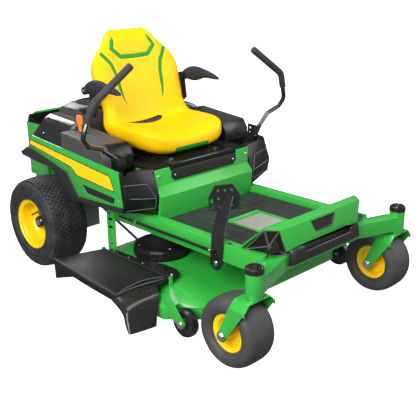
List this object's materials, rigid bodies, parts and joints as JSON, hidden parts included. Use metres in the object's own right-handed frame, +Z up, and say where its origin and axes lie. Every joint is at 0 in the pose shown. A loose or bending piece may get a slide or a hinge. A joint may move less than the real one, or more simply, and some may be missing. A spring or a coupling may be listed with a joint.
{
  "type": "zero turn mower",
  "caption": "Ride-on zero turn mower: rear-engine frame with drive wheels, front casters, hanging cutting deck with side chute, bucket seat and twin steering levers.",
  "frame": {"origin": "on the ground under the middle of the machine's bounding box", "axes": "+X forward, the way the machine drives; +Y to the operator's left; +Z up"},
  "size_m": [1.8854, 1.3507, 1.1697],
  "materials": {
    "green_paint": "gloss",
    "green_plastic": "gloss",
    "yellow_paint": "satin",
    "yellow_vinyl": "satin",
    "armrest_vinyl": "matte",
    "black_plastic": "satin",
    "grey_plastic": "satin",
    "orange_plastic": "satin",
    "black_paint": "gloss",
    "black_rubber": "matte",
    "grip_rubber": "matte",
    "belt_rubber": "matte",
    "tyre_rubber": "matte",
    "cast_alloy": "satin",
    "steel": "satin"
  },
  "bodies": {
    "frame": {"right_frame_rail": "green_paint", "left_frame_rail": "green_paint", "front_beam": "green_paint", "rear_guard": "green_paint", "floor_pan": "green_paint", "floor_mat": "black_rubber", "front_cover": "green_paint", "bumper_caps": "black_plastic", "front_handle": "black_plastic", "seat_tower": "green_paint", "name_plate": "black_plastic", "right_corner_cover": "black_plastic", "left_corner_cover": "black_plastic", "right_fender": "black_plastic", "left_fender": "black_plastic", "right_side_panel": "green_plastic", "left_side_panel": "green_plastic", "engine_plate": "green_paint", "engine_block": "cast_alloy", "engine_shroud": "grey_plastic", "muffler": "steel", "right_transaxle": "cast_alloy", "left_transaxle": "cast_alloy", "right_caster_cap": "black_plastic", "left_caster_cap": "black_plastic"},
    "right_rear_wheel": {"right_rear_tyre": "tyre_rubber", "right_rear_rim": "yellow_paint"},
    "left_rear_wheel": {"left_rear_tyre": "tyre_rubber", "left_rear_rim": "yellow_paint"},
    "right_caster": {"right_caster_fork": "green_paint"},
    "left_caster": {"left_caster_fork": "green_paint"},
    "right_caster_wheel": {"right_caster_tyre": "tyre_rubber", "right_caster_rim": "yellow_paint"},
    "left_caster_wheel": {"left_caster_tyre": "tyre_rubber", "left_caster_rim": "yellow_paint"},
    "right_lever_pivot": {"right_lever_bracket": "black_paint"},
    "left_lever_pivot": {"left_lever_bracket": "black_paint"},
    "right_steering_lever": {"right_lever": "black_paint", "right_lever_grip": "grip_rubber"},
    "left_steering_lever": {"left_lever": "black_paint", "left_lever_grip": "grip_rubber"},
    "deck": {"deck_shell": "green_paint", "deck_belt": "belt_rubber", "right_belt_cover": "black_plastic", "left_belt_cover": "black_plastic"},
    "pedal": {"lift_pedal": "black_paint"},
    "rod": {"lift_rod": "steel"},
    "chute": {"discharge_chute": "black_plastic"},
    "right_scalp": {"right_scalp_wheel": "black_plastic"},
    "left_scalp": {"left_scalp_wheel": "black_plastic"},
    "right_blade": {"right_spindle": "steel"},
    "left_blade": {"left_spindle": "steel"},
    "crank_pulley": {"engine_pulley": "steel"},
    "throttle": {"throttle_lever": "orange_plastic"},
    "cap": {"fuel_cap": "black_plastic"},
    "seat_base": {"seat_plate": "black_paint"},
    "seat_slider": {"seat_frame": "black_paint", "seat": "yellow_vinyl"},
    "right_arm": {"right_armrest": "armrest_vinyl"},
    "left_arm": {"left_armrest": "armrest_vinyl"}
  },
  "joints": [
    {"name": "right_wheel_spin", "type": "hinge", "parent": "frame", "child": "right_rear_wheel", "pos_m": [-0.57975, -0.40175, 0.23], "axis": [0, 1, 0], "continuous": true},
    {"name": "left_wheel_spin", "type": "hinge", "parent": "frame", "child": "left_rear_wheel", "pos_m": [-0.57975, 0.47025, 0.23], "axis": [0, 1, 0], "continuous": true},
    {"name": "right_caster_swivel", "type": "hinge", "parent": "frame", "child": "right_caster", "pos_m": [0.88425, -0.44075, 0.3], "axis": [0, 0, 1], "continuous": true},
    {"name": "left_caster_swivel", "type": "hinge", "parent": "frame", "child": "left_caster", "pos_m": [0.88425, 0.50925, 0.3], "axis": [0, 0, 1], "continuous": true},
    {"name": "right_caster_spin", "type": "hinge", "parent": "right_caster", "child": "right_caster_wheel", "pos_m": [0.79825, -0.44075, 0.1445], "axis": [0, 1, 0], "continuous": true},
    {"name": "left_caster_spin", "type": "hinge", "parent": "left_caster", "child": "left_caster_wheel", "pos_m": [0.79825, 0.50925, 0.1445], "axis": [0, 1, 0], "continuous": true},
    {"name": "right_lever_drive", "type": "hinge", "parent": "frame", "child": "right_lever_pivot", "pos_m": [0.03525, -0.38575, 0.53], "axis": [0, 1, 0], "range_deg": [-10, 15]},
    {"name": "left_lever_drive", "type": "hinge", "parent": "frame", "child": "left_lever_pivot", "pos_m": [0.03525, 0.45425, 0.53], "axis": [0, 1, 0], "range_deg": [-10, 15]},
    {"name": "right_lever_swing", "type": "hinge", "parent": "right_lever_pivot", "child": "right_steering_lever", "pos_m": [0.03525, -0.38575, 0.575], "axis": [1, 0, 0], "range_deg": [-20, 0]},
    {"name": "left_lever_swing", "type": "hinge", "parent": "left_lever_pivot", "child": "left_steering_lever", "pos_m": [0.03525, 0.45425, 0.575], "axis": [-1, 0, 0], "range_deg": [-20, 0]},
    {"name": "deck_lift", "type": "slide", "parent": "frame", "child": "deck", "axis": [0, 0, 1], "range_m": [0, 0.07], "deforming": ["deck_belt"]},
    {"name": "pedal_press", "type": "hinge", "parent": "frame", "child": "pedal", "pos_m": [0.56525, 0.03425, 0.309], "axis": [0, 1, 0], "range_deg": [0, 28.1]},
    {"name": "rod_pull", "type": "slide", "parent": "frame", "child": "rod", "axis": [1, 0, 0], "range_m": [0, 0.025]},
    {"name": "chute_fold", "type": "hinge", "parent": "deck", "child": "chute", "pos_m": [-0.09775, -0.40275, 0.205], "axis": [-1, 0, 0], "range_deg": [0, 70]},
    {"name": "right_scalp_spin", "type": "hinge", "parent": "deck", "child": "right_scalp", "pos_m": [0.55025, -0.48075, 0.093], "axis": [0, 1, 0], "continuous": true},
    {"name": "left_scalp_spin", "type": "hinge", "parent": "deck", "child": "left_scalp", "pos_m": [0.55025, 0.54925, 0.093], "axis": [0, 1, 0], "continuous": true},
    {"name": "right_blade_spin", "type": "hinge", "parent": "deck", "child": "right_blade", "pos_m": [0.11025, -0.22575, 0.2], "axis": [0, 0, 1], "continuous": true},
    {"name": "left_blade_spin", "type": "hinge", "parent": "deck", "child": "left_blade", "pos_m": [0.11025, 0.29425, 0.2], "axis": [0, 0, 1], "continuous": true},
    {"name": "crank_spin", "type": "hinge", "parent": "frame", "child": "crank_pulley", "pos_m": [-0.69975, 0.03425, 0.224], "axis": [0, 0, 1], "continuous": true},
    {"name": "throttle_tilt", "type": "hinge", "parent": "frame", "child": "throttle", "pos_m": [-0.30375, -0.35075, 0.69], "axis": [0, 1, 0], "range_deg": [-16, 16]},
    {"name": "fuel_cap_turn", "type": "hinge", "parent": "frame", "child": "cap", "pos_m": [-0.51975, 0.38425, 0.7683], "axis": [0, 0, 1], "continuous": true},
    {"name": "seat_tilt", "type": "hinge", "parent": "frame", "child": "seat_base", "pos_m": [0.11825, 0.03425, 0.6065], "axis": [0, 1, 0], "range_deg": [0, 55]},
    {"name": "seat_slide", "type": "slide", "parent": "seat_base", "child": "seat_slider", "axis": [1, 0, 0], "range_m": [-0.05, 0.05]},
    {"name": "right_arm_lift", "type": "hinge", "parent": "seat_slider", "child": "right_arm", "pos_m": [-0.33275, -0.25305, 0.905], "axis": [0, -1, 0], "range_deg": [0, 80]},
    {"name": "left_arm_lift", "type": "hinge", "parent": "seat_slider", "child": "left_arm", "pos_m": [-0.33275, 0.32155, 0.905], "axis": [0, -1, 0], "range_deg": [0, 80]}
  ],
  "couplings": [
    {"joint": "pedal_press", "follows": "deck_lift", "rad_per_m": 6.981},
    {"joint": "rod_pull", "follows": "deck_lift", "ratio": 0.3557},
    {"joint": "left_blade_spin", "follows": "right_blade_spin", "ratio": 1},
    {"joint": "crank_spin", "follows": "right_blade_spin", "ratio": 1.1273}
  ]
}
